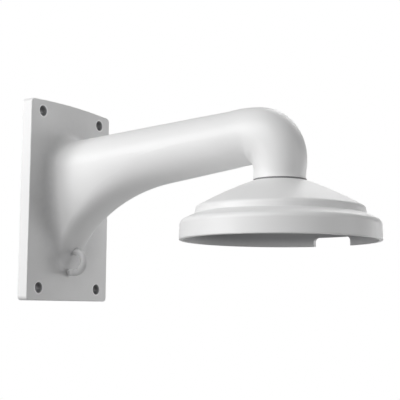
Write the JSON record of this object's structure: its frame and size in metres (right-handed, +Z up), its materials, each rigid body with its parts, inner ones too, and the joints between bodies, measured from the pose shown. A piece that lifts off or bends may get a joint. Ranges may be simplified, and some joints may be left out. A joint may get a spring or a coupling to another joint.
{
  "type": "camera wall bracket",
  "caption": "Pendant wall bracket for a dome camera: a wall plate, a hollow cast arm with a turned-down neck, and a round mounting cap.",
  "frame": {"origin": "middle of the four wall holes, on the wall face of the plate", "axes": "+X out of the wall along the arm, +Z up, and the arm's mirror plane is XZ"},
  "size_m": [0.313, 0.1658, 0.184],
  "materials": {
    "white_coat": "satin powder coat",
    "gasket": "matte",
    "screw_steel": "plain stainless"
  },
  "bodies": {
    "root": {"bracket_arm": "white_coat", "dome_cap": "white_coat", "neck_gasket": "gasket", "cap_screw_1": "screw_steel", "cap_screw_2": "screw_steel", "cap_screw_3": "screw_steel", "flat_washer_1": "screw_steel", "flat_washer_2": "screw_steel", "flat_washer_3": "screw_steel", "lock_washer_1": "screw_steel", "lock_washer_2": "screw_steel", "lock_washer_3": "screw_steel"}
  },
  "joints": []
}
